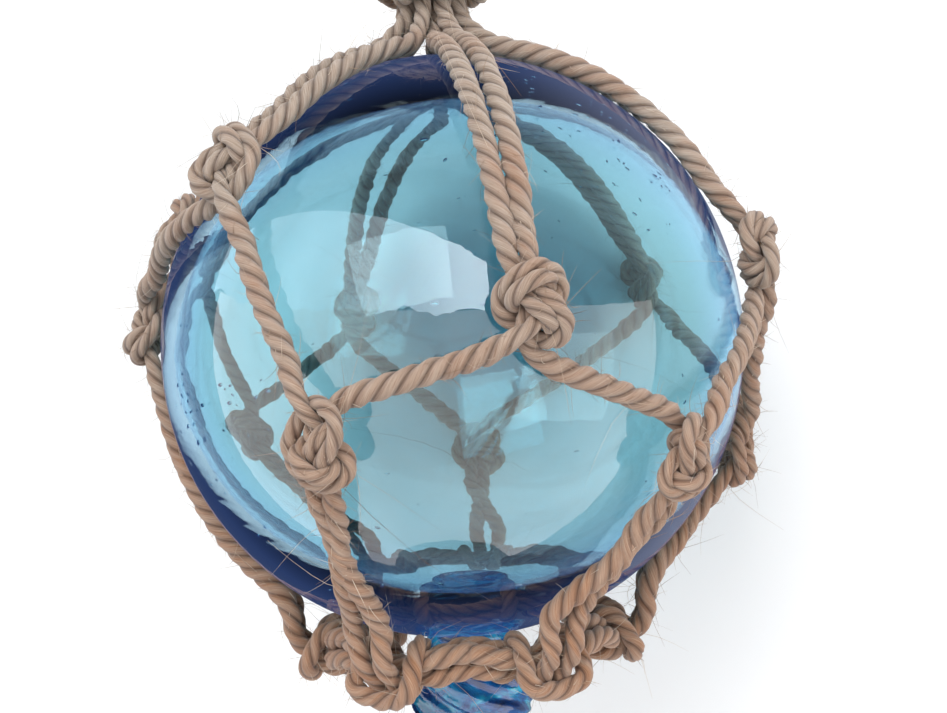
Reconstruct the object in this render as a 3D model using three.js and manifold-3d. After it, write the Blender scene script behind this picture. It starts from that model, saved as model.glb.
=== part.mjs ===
// A sealed glass float ball in a knotted jute net, lying on its side as it does when it is put down.
// Millimetres, +Z up. The net's axis runs along Y: the gathered cord ends at +Y, the seal at -Y.
// The origin is on the surface that the float lies on, under the middle of its box.
import * as THREE from 'three';
import { mergeVertices } from 'three/addons/utils/BufferGeometryUtils.js';
import Module from 'manifold-3d';

const wasm = await Module();
wasm.setup();

// ---- Driving dimensions ----
const BALL_R = 62.5; // the blown ball
const NECK_R = 9.6; // the seal's neck, where it is stuck on
const GOB_R = 14.2; // the seal's widest part
const GOB_TOP = 66; // distances of the seal's shoulder, widest ring and end from the ball's centre
const GOB_WAIST = 75;
const GOB_END = 83.5;
const CORD_R = 2.2; // the jute cord, slack
const KNOT_LAY = 3.15; // centre distance of two cords squeezed together in a knot
const SLACK = 0.28; // taken off a squeezed cord's radius, so that coarse solids keep apart
const BOUND_R = 1.75; // a cord squeezed in a hitch or under the lashing
const GAP = 0.3; // between pieces that touch
const SEAT = BALL_R + GAP + CORD_R; // distance of a cord's middle from the ball's centre
const RING_R = 4.4; // the three turns of the base ring, taken together
const RING_FROM_AXIS = 28;
const LASHING_START = 73; // the three turns of the top lashing
const ENDS_AT = 96; // the trimmed cord ends
const FLOOR_BELOW = 62.75; // the ball's centre above the surface
const FOOT = [168.1, 7.8]; // the direction that points down when it lies on three knots, as below

// The net's knots: degrees round the axis, and degrees of latitude towards the gathered ends.
const UPPER_KNOTS = [[12, 5], [77, 13], [131, 12], [205, 10], [253, 26], [316, 33]];
const LOWER_KNOTS = [[-23, -14], [42, -21], [94, -23], [178, -27], [235, -18], [266, 5]];
const HITCHES = [-31, 28, 88, 172, 226, 268]; // where each cord is folded over the base ring
const CORDS = HITCHES.length;

const rad = THREE.MathUtils.degToRad;
const mod = (i) => (i + CORDS) % CORDS;
const smooth = (x) => THREE.MathUtils.smoothstep(x, 0, 1);

/** The unit vector at an azimuth from +Z towards +X and a latitude towards +Y. */
function direction([azimuth, latitude]) {
  const flat = Math.cos(rad(latitude));
  return new THREE.Vector3(
    flat * Math.sin(rad(azimuth)), Math.sin(rad(latitude)), flat * Math.cos(rad(azimuth)));
}

/** A point at a distance from the axis and a height along it. */
function onAxis(azimuth, fromAxis, height) {
  return new THREE.Vector3(
    fromAxis * Math.sin(rad(azimuth)), height, fromAxis * Math.cos(rad(azimuth)));
}

/** How far a hitch's cord, passing between ring and ball, lifts the ring off the ball. */
function ringLift(azimuth) {
  const [level, foot] = [15, 29]; // degrees from the hitch where the ring starts and ends its way down
  const offs = HITCHES.map((at) => Math.abs(((azimuth - at + 540) % 360) - 180));
  return (2 * BOUND_R + GAP) * smooth((foot - Math.min(...offs)) / (foot - level));
}

/** The ring's middle and the three directions there: towards the ends, outwards, and along the ring. */
function ringPlace(azimuth) {
  const bare = BALL_R + GAP + RING_R;
  const height = -Math.sqrt(bare ** 2 - RING_FROM_AXIS ** 2);
  const middle = onAxis(azimuth, RING_FROM_AXIS, height);
  const out = middle.clone().normalize();
  middle.addScaledVector(out, ringLift(azimuth));
  const along = new THREE.Vector3(Math.cos(rad(azimuth)), 0, -Math.sin(rad(azimuth)));
  const up = new THREE.Vector3().crossVectors(out, along);
  return { middle, up, out, along };
}

// ---- Overhand knots, drawn tight ----
const KNOT_POINTS = 80; // points along each of a knot's two cords
const KNOT_REACH = 24; // distance along the ball from the knot's middle to its four tails
const KNOT_KEEP = 11.5; // how much of the tails belongs to the knot
const KNOT_PRESS = 0.002; // how far each round of tightening presses a knot towards the ball

/** A seat on the ball at distances x and y along it from the knot's middle. */
function seatAt(x, y) {
  const angle = Math.hypot(x, y) / SEAT;
  const turn = Math.sin(angle) / Math.max(Math.hypot(x, y), 1e-9);
  return new THREE.Vector3(x * turn, y * turn, Math.cos(angle)).multiplyScalar(SEAT)
    .setZ(SEAT * Math.cos(angle) - BALL_R);
}

/**
 * One of two cords laid side by side round a loose overhand knot. The loop is the plane curve
 * (t^3 - 3t, t^4 - 4t^2), which crosses itself three times, and a sine lifts and lowers its crossings.
 */
function looseCord(side, hand, branchAngle) {
  const size = 2.4 * KNOT_LAY;
  const lift = 1.6 * KNOT_LAY;
  const points = [seatAt(-side * 0.65 * CORD_R * 2, KNOT_REACH)];
  for (let i = 0; i <= 60; i++) {
    const t = -2 + i / 15;
    const along = new THREE.Vector2(hand * (4 * t ** 3 - 8 * t), 3 - 3 * t ** 2).normalize();
    points.push(new THREE.Vector3(
      hand * size * (t ** 4 - 4 * t ** 2 + 1.6) + side * 0.55 * KNOT_LAY * along.y,
      -size * (t ** 3 - 3 * t) - side * 0.55 * KNOT_LAY * along.x,
      KNOT_LAY + lift * (1.5 + Math.sin(3.2 * t))));
  }
  points.push(seatAt(KNOT_REACH * Math.sin(branchAngle), -KNOT_REACH * Math.cos(branchAngle)));
  const curve = new THREE.CatmullRomCurve3(points, false, 'centripetal');
  curve.arcLengthDivisions = 2000;
  return curve.getSpacedPoints(KNOT_POINTS - 1);
}

function pathLength(points) {
  let sum = 0;
  for (let i = 1; i < points.length; i++) sum += points[i].distanceTo(points[i - 1]);
  return sum;
}

/**
 * Draws the two cords tight: their links shorten step by step, points of different turns keep KNOT_LAY
 * apart, bends are eased, and nothing sinks into the ball, towards which every round presses the cords a
 * little. The four tail ends stay where they are.
 */
function tighten(cords) {
  const points = cords.flat();
  const count = points.length;
  const loose = cords.map(pathLength);
  const mean = (loose[0] + loose[1]) / 2;
  const tight = loose.map((length) => 2 * KNOT_REACH + 16 * KNOT_LAY * length / mean);
  const isTail = points.map((_, i) => i % KNOT_POINTS === 0 || i % KNOT_POINTS === KNOT_POINTS - 1);
  const centre = new THREE.Vector3(0, 0, -BALL_R);
  const push = points.map(() => new THREE.Vector3());
  const pushes = new Array(count);
  const gap = new THREE.Vector3();
  const shove = (i, j, by) => {
    push[i].addScaledVector(gap, by);
    push[j].addScaledVector(gap, -by);
    pushes[i] += 1;
    pushes[j] += 1;
  };
  const rounds = 1350;
  for (let round = 0; round < rounds; round++) {
    const drawn = Math.min(1, round / (0.8 * rounds));
    push.forEach((p) => p.set(0, 0, 0));
    pushes.fill(0);
    for (let i = 0; i < count; i++) {
      const cord = Math.floor(i / KNOT_POINTS);
      const link = ((1 - drawn) * loose[cord] + drawn * tight[cord]) / (KNOT_POINTS - 1);
      if (i % KNOT_POINTS > 0) {
        gap.subVectors(points[i], points[i - 1]);
        const length = gap.length();
        shove(i - 1, i, 0.5 * (length - link) / length);
      }
      const next = i + Math.ceil(1.6 * KNOT_LAY / link);
      const end = (cord + 1) * KNOT_POINTS;
      for (let j = i + 1; j < count; j++) {
        if (j < end && j < next) continue;
        gap.subVectors(points[j], points[i]);
        const length = gap.length();
        if (length < KNOT_LAY) shove(i, j, 0.5 * (length - KNOT_LAY) / length);
      }
    }
    points.forEach((p, i) => {
      if (!isTail[i]) p.addScaledVector(push[i], 1 / Math.max(1, 1.1 * Math.sqrt(pushes[i])));
    });
    const eased = points.map((p, i) => {
      if (isTail[i]) return p.clone();
      const between = points[i - 1].clone().add(points[i + 1]).multiplyScalar(0.5);
      return p.clone().lerp(between, 0.15).setZ(p.z * 0.85 + between.z * 0.15 - KNOT_PRESS);
    });
    points.forEach((p, i) => {
      p.copy(eased[i]);
      const away = p.distanceTo(centre);
      if (!isTail[i] && away < SEAT) p.sub(centre).multiplyScalar(SEAT / away).add(centre);
    });
  }
  return [points.slice(0, KNOT_POINTS), points.slice(KNOT_POINTS)];
}

/**
 * A knot of the net. Its stem of two cords leaves towards stemTo, its branches towards the two
 * directions in branchTo, which lie to the left and the right. Returns the left and right cords,
 * from stem to branch, each point with the cord's radius there.
 */
function netKnot(place, stemTo, branchTo, hand) {
  const out = direction(place);
  const stem = stemTo.clone().projectOnPlane(out).normalize();
  const side = new THREE.Vector3().crossVectors(stem, out);
  const angle = (to) => {
    const way = to.clone().projectOnPlane(out);
    return Math.atan2(way.dot(side), -way.dot(stem));
  };
  const loose = [-1, 1].map((k, i) => looseCord(k, hand, angle(branchTo[i])));
  const tight = tighten(loose);
  const radii = squeezedRadii(tight);
  return tight.map((cord, k) => cord
    .map((p, i) => ({
      at: new THREE.Vector3().addScaledVector(side, p.x).addScaledVector(stem, p.y)
        .addScaledVector(out, p.z + BALL_R),
      r: radii[k][i],
      near: Math.hypot(p.x, p.y) }))
    .filter((p) => p.near < KNOT_KEEP));
}

/** A cord's radius at each point: half the distance to the nearest other turn, less the slack. */
function squeezedRadii(cords) {
  const apart = 1.6 * KNOT_LAY;
  const travel = cords.map((cord) => pathLength(cord) / (KNOT_POINTS - 1));
  return cords.map((cord, k) => {
    const raw = cord.map((p, i) => {
      let nearest = 2 * (CORD_R + SLACK);
      cords.forEach((other, m) => other.forEach((q, j) => {
        if (k === m && Math.abs(i - j) * travel[k] < apart) return;
        nearest = Math.min(nearest, p.distanceTo(q));
      }));
      return nearest / 2 - SLACK;
    });
    return raw.map((r, i) => Math.min(...raw.slice(Math.max(0, i - 1), i + 2)));
  });
}

// ---- The stretches between the knots ----

/** The way along the ball from one point of a cord to another, without its two ends. */
function stretch(from, to, step = 12) {
  const a = from.at.clone().normalize();
  const b = to.at.clone().normalize();
  const angle = a.angleTo(b);
  const steps = Math.max(1, Math.round(angle * SEAT / step));
  const points = [];
  for (let i = 1; i < steps; i++) {
    const t = i / steps;
    const way = a.clone().multiplyScalar(Math.sin((1 - t) * angle))
      .addScaledVector(b, Math.sin(t * angle)).divideScalar(Math.sin(angle));
    const height = THREE.MathUtils.lerp(from.at.length(), to.at.length(), t);
    points.push({
      at: way.multiplyScalar(Math.max(SEAT, height - 3 * Math.min(t, 1 - t) * step)),
      r: CORD_R });
  }
  return points;
}

/**
 * The lark's head of one cord on the base ring, from the left leg to the right one. Each leg comes down
 * over the ring's outside, turns under it, rises between ring and ball, and meets the other leg in the
 * bar that crosses over both legs.
 */
function larksHead(azimuth) {
  const lifted = ringPlace(azimuth).middle.length();
  const wrap = RING_R + GAP + BOUND_R;
  const over = wrap + 2 * BOUND_R + GAP;
  const leg = BOUND_R + GAP / 2 + 0.1;
  const half = [];
  half.push([13, SEAT - lifted + 0.4, leg + 0.5, CORD_R]);
  half.push([9, 1.4, leg, 2]);
  for (let turn = 50; turn <= 420; turn += 30) {
    const aside = leg + (2 * BOUND_R + 1.1) * smooth((turn - 90) / 220);
    const reach = wrap + (over - wrap) * smooth((turn - 375) / 40);
    half.push([reach * Math.cos(rad(turn)), reach * Math.sin(rad(turn)), aside, BOUND_R]);
  }
  half.push([over * Math.cos(rad(68)), over * Math.sin(rad(68)), 1.9, BOUND_R]);
  const place = (k) => ([m, o, t, r]) => {
    const { middle, up, out } = ringPlace(azimuth + k * THREE.MathUtils.radToDeg(t / RING_FROM_AXIS));
    return { at: middle.addScaledVector(up, m).addScaledVector(out, o), r };
  };
  return [...half.map(place(-1)), ...half.map(place(1)).reverse()];
}

/** The twelve cord ends in order round the axis: each one's azimuth, and its place in the bundle. */
function bundlePlaces() {
  const first = -59;
  const inTurn = [0, 40, 60, 80];
  const places = [];
  for (let i = 0; i < 2 * CORDS; i++) {
    places.push({ azimuth: first + 120 * Math.floor(i / 4) + inTurn[i % 4], inner: i % 4 === 2 });
  }
  return places;
}

/** A cord's way off the ball, up through the lashing and to its trimmed end. */
function gather({ azimuth, inner }) {
  const rise = inner
    ? [[15, 63.3], [8, 65.2], [3.6, 69], [2.35, 74], [2.35, 86]]
    : [[15, 63.3], [10, 67], [6.8, 70.3], [6.1, 73], [6.1, 86]];
  const end = inner ? [2.6, ENDS_AT] : [7.4, ENDS_AT - 1];
  return [...rise, end].map(([fromAxis, height], i) => ({
    at: onAxis(azimuth, fromAxis, height), r: i === 0 ? CORD_R : BOUND_R }));
}

/** Drops points that a straight line passes within the tolerance, as a carver takes off least. */
function thin(points, tolerance) {
  if (points.length < 3) return points;
  const line = new THREE.Line3(points[0].at, points.at(-1).at);
  const foot = new THREE.Vector3();
  let worst = 0;
  let split = 0;
  points.slice(1, -1).forEach((p, i) => {
    const off = line.closestPointToPoint(p.at, true, foot).distanceTo(p.at);
    if (off > worst) [worst, split] = [off, i + 1];
  });
  if (worst < tolerance) return [points[0], points.at(-1)];
  return [...thin(points.slice(0, split + 1), tolerance).slice(0, -1), ...thin(points.slice(split), tolerance)];
}

// ---- Solids ----

/** A cord's path, which scales its section to the radius at each point. */
class CordPath extends THREE.CatmullRomCurve3 {
  constructor(points) {
    super(points.map((p) => p.at), false, 'centripetal');
    this.radii = points.map((p) => p.r);
  }

  getUtoTmapping(u) {
    return u;
  }

  computeFrenetFrames(segments, closed) {
    const frames = super.computeFrenetFrames(segments, closed);
    this.radii.forEach((r, i) => {
      frames.normals[i].multiplyScalar(r);
      frames.binormals[i].multiplyScalar(r);
    });
    return frames;
  }
}

function polygon(sides) {
  const corners = [];
  for (let i = 0; i < sides; i++) {
    corners.push(new THREE.Vector2(Math.cos(2 * Math.PI * i / sides), Math.sin(2 * Math.PI * i / sides)));
  }
  return new THREE.Shape(corners);
}

function sweptCord(points, sides = 5) {
  return new THREE.ExtrudeGeometry(polygon(sides), {
    steps: points.length - 1, extrudePath: new CordPath(points) });
}

/** The ball and its seal: an arc of the ball, a short neck, and a rounded gob. */
function glassFloat() {
  const profile = [new THREE.Vector2(0, BALL_R)];
  const rings = 13;
  const neckAngle = Math.PI - Math.asin((NECK_R + 1.5) / BALL_R);
  for (let i = 1; i <= rings; i++) {
    const angle = neckAngle * i / rings;
    profile.push(new THREE.Vector2(BALL_R * Math.sin(angle), BALL_R * Math.cos(angle)));
  }
  profile.push(new THREE.Vector2(NECK_R, -BALL_R - 0.6));
  profile.push(new THREE.Vector2(NECK_R + 0.6, -GOB_TOP));
  const rows = 5;
  for (let i = 0; i < rows; i++) {
    const angle = Math.PI / 2 * (i / rows * 1.55 - 0.55);
    const height = angle < 0
      ? -GOB_WAIST - (GOB_WAIST - GOB_TOP - 1) * Math.sin(angle) / Math.sin(0.55 * Math.PI / 2)
      : -GOB_WAIST - (GOB_END - GOB_WAIST) * Math.sin(angle);
    profile.push(new THREE.Vector2(GOB_R * Math.cos(angle) ** 0.8, height));
  }
  profile.push(new THREE.Vector2(0, -GOB_END));
  return new THREE.LatheGeometry(profile.reverse(), 28);
}

/** Outline of three cords laid together in a triangle, as points about their middle. */
function threeTurns(size, rows) {
  const points = [];
  for (let i = 0; i < 3 * rows; i++) {
    const angle = 2 * Math.PI * i / (3 * rows);
    const reach = size * (1 - 0.1 * (1 - Math.cos(3 * angle)));
    points.push(new THREE.Vector2(reach * Math.cos(angle), reach * Math.sin(angle)));
  }
  return points;
}

function closedLathe(section, segments) {
  return new THREE.LatheGeometry([...section, section[0].clone()], segments);
}

/** The base ring: three turns of cord, lifted off the ball where the hitches pass under it. */
function baseRing() {
  const bare = BALL_R + GAP + RING_R;
  const height = -Math.sqrt(bare ** 2 - RING_FROM_AXIS ** 2);
  const section = threeTurns(RING_R, 3).map((p) => p.add(new THREE.Vector2(RING_FROM_AXIS, height)));
  const geometry = closedLathe(section, 36);
  const position = geometry.attributes.position;
  const p = new THREE.Vector3();
  for (let i = 0; i < position.count; i++) {
    p.fromBufferAttribute(position, i);
    const azimuth = THREE.MathUtils.radToDeg(Math.atan2(p.x, p.z));
    p.addScaledVector(onAxis(azimuth, RING_FROM_AXIS, height).normalize(), ringLift(azimuth));
    position.setXYZ(i, p.x, p.y, p.z);
  }
  return geometry;
}

/** The top lashing: three turns, one above the other. */
function topLashing() {
  const inside = 6.4 + BOUND_R + GAP;
  const section = [new THREE.Vector2(inside, LASHING_START + 6 * CORD_R), new THREE.Vector2(inside, LASHING_START)];
  for (let turn = 0; turn < 3; turn++) {
    for (const [along, out] of [[0.2, 1.4], [1, 2], [1.8, 1.4]]) {
      section.push(new THREE.Vector2(inside + out * CORD_R, LASHING_START + (2 * turn + along) * CORD_R));
    }
  }
  return closedLathe(section, 16);
}

// ---- The net ----

/** All twelve knots, then the six cords that run through them. */
function netCords() {
  const upperAt = UPPER_KNOTS.map(direction);
  const lowerAt = LOWER_KNOTS.map(direction);
  const places = bundlePlaces();
  const upper = UPPER_KNOTS.map((place, j) => {
    const [left, right] = [places[mod(j + 1) * 2], places[mod(j + 1) * 2 + 1]];
    const top = onAxis(left.azimuth, 15, 63).add(onAxis(right.azimuth, 15, 63));
    return netKnot(place, top, [lowerAt[j], lowerAt[mod(j + 1)]], j % 2 ? 1 : -1);
  });
  const lower = LOWER_KNOTS.map((place, i) => {
    const hitch = ringPlace(HITCHES[i]).middle;
    return netKnot(place, hitch, [upperAt[i], upperAt[mod(i - 1)]], i % 2 ? -1 : 1);
  });
  return HITCHES.map((azimuth, i) => {
    const head = larksHead(azimuth);
    const leftEnd = legUp(head[0], lower[i][1], upper[mod(i - 1)][1], places[mod(i) * 2]);
    const rightEnd = legUp(head.at(-1), lower[i][0], upper[i][0], places[mod(i + 1) * 2 + 1]);
    return [...leftEnd.reverse(), ...thin(head, 0.35), ...rightEnd];
  });
}

/** One leg of a cord, from its hitch through a lower and an upper knot to its trimmed end. */
function legUp(start, lowerKnot, upperKnot, place) {
  const first = thin(lowerKnot, 0.5);
  const second = thin([...upperKnot].reverse(), 0.5);
  const end = gather(place);
  return [
    ...stretch(start, first[0]), ...first,
    ...stretch(first.at(-1), second[0]), ...second,
    ...stretch(second.at(-1), end[0]), ...end,
  ];
}

// ---- Laying it down ----

/** The turn that points the foot down and the net's axis over +Y. */
function lyingTurn() {
  const up = direction(FOOT).negate();
  const along = new THREE.Vector3(0, 1, 0).projectOnPlane(up).normalize();
  const across = new THREE.Vector3().crossVectors(along, up);
  return new THREE.Matrix4().makeBasis(across, along, up).transpose();
}

function toManifold(geometry) {
  const bare = geometry.clone();
  bare.deleteAttribute('normal');
  bare.deleteAttribute('uv');
  const merged = mergeVertices(bare, 1e-4);
  return new wasm.Manifold(new wasm.Mesh({
    numProp: 3,
    vertProperties: new Float32Array(merged.attributes.position.array),
    triVerts: new Uint32Array(merged.index.array) }));
}

function toGeometry(solid) {
  const mesh = solid.getMesh();
  const geometry = new THREE.BufferGeometry();
  geometry.setAttribute('position', new THREE.BufferAttribute(new Float32Array(mesh.vertProperties), 3));
  geometry.setIndex(new THREE.BufferAttribute(new Uint32Array(mesh.triVerts), 1));
  return geometry;
}

/** Takes off what a press against the surface flattens: everything below z = 0. */
function pressFlat(geometry) {
  const slab = new THREE.BoxGeometry(400, 400, 40).translate(0, 0, -20);
  const pressed = toManifold(geometry).subtract(toManifold(slab));
  return toGeometry(pressed);
}

const glassMaterial = new THREE.MeshStandardMaterial({
  color: 0x9fcfdf, roughness: 0.03, metalness: 0, transparent: true, opacity: 0.45 });
const juteMaterial = new THREE.MeshStandardMaterial({ color: 0xa57d62, roughness: 0.95, metalness: 0 });

const pieces = {
  glass_float: { geometry: glassFloat(), material: glassMaterial },
  base_ring: { geometry: baseRing(), material: juteMaterial },
  top_lashing: { geometry: topLashing(), material: juteMaterial },
};
netCords().forEach((points, i) => {
  pieces[`net_cord_${i + 1}`] = { geometry: sweptCord(points), material: juteMaterial };
});

const lay = lyingTurn().premultiply(new THREE.Matrix4().makeTranslation(0, 0, FLOOR_BELOW));
const box = new THREE.Box3();
for (const [name, piece] of Object.entries(pieces)) {
  piece.geometry.applyMatrix4(lay);
  if (name.startsWith('net_cord')) piece.geometry = pressFlat(piece.geometry);
  piece.geometry.computeBoundingBox();
  box.union(piece.geometry.boundingBox);
}
const middle = box.getCenter(new THREE.Vector3());

const float = new THREE.Group();
for (const [name, piece] of Object.entries(pieces)) {
  const mesh = new THREE.Mesh(piece.geometry, piece.material);
  mesh.name = name;
  mesh.position.set(-middle.x, -middle.y, 0);
  float.add(mesh);
}

export default float;
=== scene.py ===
"""A blue glass float ball in a knotted jute net, lying on three of its knots on a pale floor."""
import math

import bpy
import numpy as np
from mathutils import Matrix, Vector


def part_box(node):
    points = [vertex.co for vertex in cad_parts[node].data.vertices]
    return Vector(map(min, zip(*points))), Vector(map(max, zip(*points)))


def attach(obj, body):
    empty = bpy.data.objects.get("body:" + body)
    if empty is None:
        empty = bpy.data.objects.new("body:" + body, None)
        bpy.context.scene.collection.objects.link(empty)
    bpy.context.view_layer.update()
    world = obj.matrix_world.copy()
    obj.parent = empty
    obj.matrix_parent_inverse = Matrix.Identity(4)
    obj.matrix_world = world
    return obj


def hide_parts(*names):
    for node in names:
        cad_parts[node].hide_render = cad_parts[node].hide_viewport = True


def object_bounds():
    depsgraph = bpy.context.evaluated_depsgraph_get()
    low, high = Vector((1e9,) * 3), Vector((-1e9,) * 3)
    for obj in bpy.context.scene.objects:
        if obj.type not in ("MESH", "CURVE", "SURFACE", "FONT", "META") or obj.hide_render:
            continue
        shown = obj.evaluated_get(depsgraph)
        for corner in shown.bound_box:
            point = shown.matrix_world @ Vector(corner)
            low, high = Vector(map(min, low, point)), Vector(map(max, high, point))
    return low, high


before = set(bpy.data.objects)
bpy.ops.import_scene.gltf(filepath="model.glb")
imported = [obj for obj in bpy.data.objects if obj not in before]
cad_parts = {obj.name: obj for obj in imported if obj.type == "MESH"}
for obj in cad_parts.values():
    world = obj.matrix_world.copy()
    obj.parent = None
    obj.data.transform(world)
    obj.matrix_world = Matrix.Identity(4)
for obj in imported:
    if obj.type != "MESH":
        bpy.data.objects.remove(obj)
cad_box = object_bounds()

# ---------------------------------------------------------------- sizes, in millimetres
MM = 0.001
BALL_R = 62.5
NECK_R = 9.6
GOB_R = 14.2
GOB_TOP, GOB_WAIST, GOB_END = 66.0, 75.0, 83.5
CAVITY_ACROSS = 0.966 * BALL_R
CAVITY_ALONG = 0.903 * BALL_R
CAVITY_ASIDE = 0.85  # the wall is this much thinner at the net's +X and thicker at its -X
CORD_R = 2.2
KNOT_LAY = 2.9  # centre distance of two cords squeezed together in a knot
BOUND_R = 1.75  # a cord squeezed in a hitch or under the lashing
GAP = 0.3
SEAT = BALL_R + GAP + CORD_R
RING_R = 4.4
RING_FROM_AXIS = 28.0
HITCH_LIFT = 2.9  # the ring is lifted so much where a hitch passes under it
HITCHED_R = 3.0  # the ring's radius where a hitch squeezes it
LASHING_START = 73.0
ENDS_AT = 96.0
FLOOR_BELOW = 62.75
FOOT = (168.1, 7.8)

UPPER_KNOTS = np.array([[10, 4.5], [76, 13], [131, 12], [205, 10], [253, 26], [318, 33]], float)
LOWER_KNOTS = np.array([[-24, -13.5], [43, -20], [94, -23], [178, -27], [235, -18], [266, 7]], float)
HITCHES = [-31, 28, 88, 172, 226, 268]
CORDS = 6

# ---------------------------------------------------------------- directions on the ball


def unit(v):
    """Vectors scaled to length one."""
    return v / np.linalg.norm(v, axis=-1, keepdims=True)


def direction(azimuth, latitude):
    """Unit vector at degrees round the net's axis, from +Z towards +X, and degrees towards +Y."""
    a, b = np.radians(azimuth), np.radians(latitude)
    return np.stack([np.cos(b) * np.sin(a), np.sin(b), np.cos(b) * np.cos(a)], -1)


def away_from_hitches(azimuth):
    """Degrees round the axis from each azimuth to the nearest hitch."""
    return np.abs((np.subtract.outer(azimuth, HITCHES) + 540) % 360 - 180).min(-1)


def on_axis(azimuth, from_axis, height):
    """Point at a distance from the net's axis and a height along it."""
    a = np.radians(azimuth)
    return np.stack(np.broadcast_arrays(from_axis * np.sin(a), height, from_axis * np.cos(a)), -1)


def smooth(x):
    """0 below 0, 1 above 1, and 3x^2 - 2x^3 between."""
    x = np.clip(x, 0, 1)
    return x * x * (3 - 2 * x)


def flat_part(v, out):
    """The part of v that is square to the unit vector out."""
    return v - (v * out).sum(-1, keepdims=True) * out


# ---------------------------------------------------------------- smooth ways


def flowing(points, per_link):
    """Centripetal Catmull-Rom curve through the points, with per_link samples to a link."""
    p = np.vstack([2 * points[:1] - points[1:2], points, 2 * points[-1:] - points[-2:-1]])
    d = np.maximum(np.linalg.norm(np.diff(p[:, :3], axis=0), axis=1), 1e-6)[:, None] ** 0.5
    p0, p1, p2, p3 = p[:-3], p[1:-2], p[2:-1], p[3:]
    d0, d1, d2 = d[:-2], d[1:-1], d[2:]
    m1 = ((p1 - p0) / d0 - (p2 - p0) / (d0 + d1) + (p2 - p1) / d1) * d1
    m2 = ((p2 - p1) / d1 - (p3 - p1) / (d1 + d2) + (p3 - p2) / d2) * d1
    t = (np.arange(per_link) / per_link)[None, :, None]
    p1, p2, m1, m2 = (v[:, None, :] for v in (p1, p2, m1, m2))
    curve = ((2 * t**3 - 3 * t**2 + 1) * p1 + (t**3 - 2 * t**2 + t) * m1
             + (3 * t**2 - 2 * t**3) * p2 + (t**3 - t**2) * m2)
    return np.vstack([curve.reshape(-1, points.shape[1]), points[-1:]])


def run_of(path):
    """Length along a path up to each of its points."""
    return np.concatenate([[0], np.cumsum(np.linalg.norm(np.diff(path[:, :3], axis=0), axis=1))])


def evenly(path, count):
    """The same way with count samples at equal steps along it."""
    run = run_of(path)
    at = np.linspace(0, run[-1], count)
    return np.stack([np.interp(at, run, column) for column in path.T], 1)


def eased(values, width):
    """A running Gaussian mean along the first axis, width samples to one standard deviation."""
    reach = int(3 * width)
    bell = np.exp(-0.5 * (np.arange(-reach, reach + 1) / width) ** 2)
    bell /= bell.sum()
    padded = np.concatenate([2 * values[:1] - values[reach:0:-1], values,
                             2 * values[-1:] - values[-2:-reach - 2:-1]])
    return np.stack([np.convolve(column, bell, "valid") for column in padded.T], 1)


# ---------------------------------------------------------------- overhand knots, drawn tight
KNOT_POINTS = 80
KNOT_REACH = 24.0
KNOT_KEEP = 11.5
KNOT_PRESS = 0.002


def seat_at(x, y):
    """Seat on the ball at distances x and y along it from a knot's middle."""
    far = math.hypot(x, y)
    angle = far / SEAT
    turn = SEAT * math.sin(angle) / max(far, 1e-9)
    return np.array([x * turn, y * turn, SEAT * math.cos(angle) - BALL_R])


def loose_cord(side, hand, branch_angle):
    """One of two cords round a loose overhand knot: the plane curve (t^3 - 3t, t^4 - 4t^2), with its
    three crossings lifted and lowered by a sine, and a straight tail at either end."""
    size = 2.4 * KNOT_LAY
    lift = 1.6 * KNOT_LAY
    t = np.linspace(-2, 2, 61)
    along = unit(np.stack([hand * (4 * t**3 - 8 * t), 3 - 3 * t**2], 1))
    loop = np.stack([
        hand * size * (t**4 - 4 * t**2 + 1.6) + side * 0.55 * KNOT_LAY * along[:, 1],
        -size * (t**3 - 3 * t) - side * 0.55 * KNOT_LAY * along[:, 0],
        KNOT_LAY + lift * (1.5 + np.sin(3.2 * t))], 1)
    stem = seat_at(-side * 1.3 * CORD_R, KNOT_REACH)
    branch = seat_at(KNOT_REACH * math.sin(branch_angle), -KNOT_REACH * math.cos(branch_angle))
    return evenly(flowing(np.vstack([stem, loop, branch]), 32), KNOT_POINTS)


def distances(p):
    """Distance of every point from every other, for stacks of points."""
    square = (p * p).sum(-1)
    away = square[..., :, None] + square[..., None, :] - 2 * p @ np.swapaxes(p, -1, -2)
    return np.sqrt(np.maximum(away, 1e-9))


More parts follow.
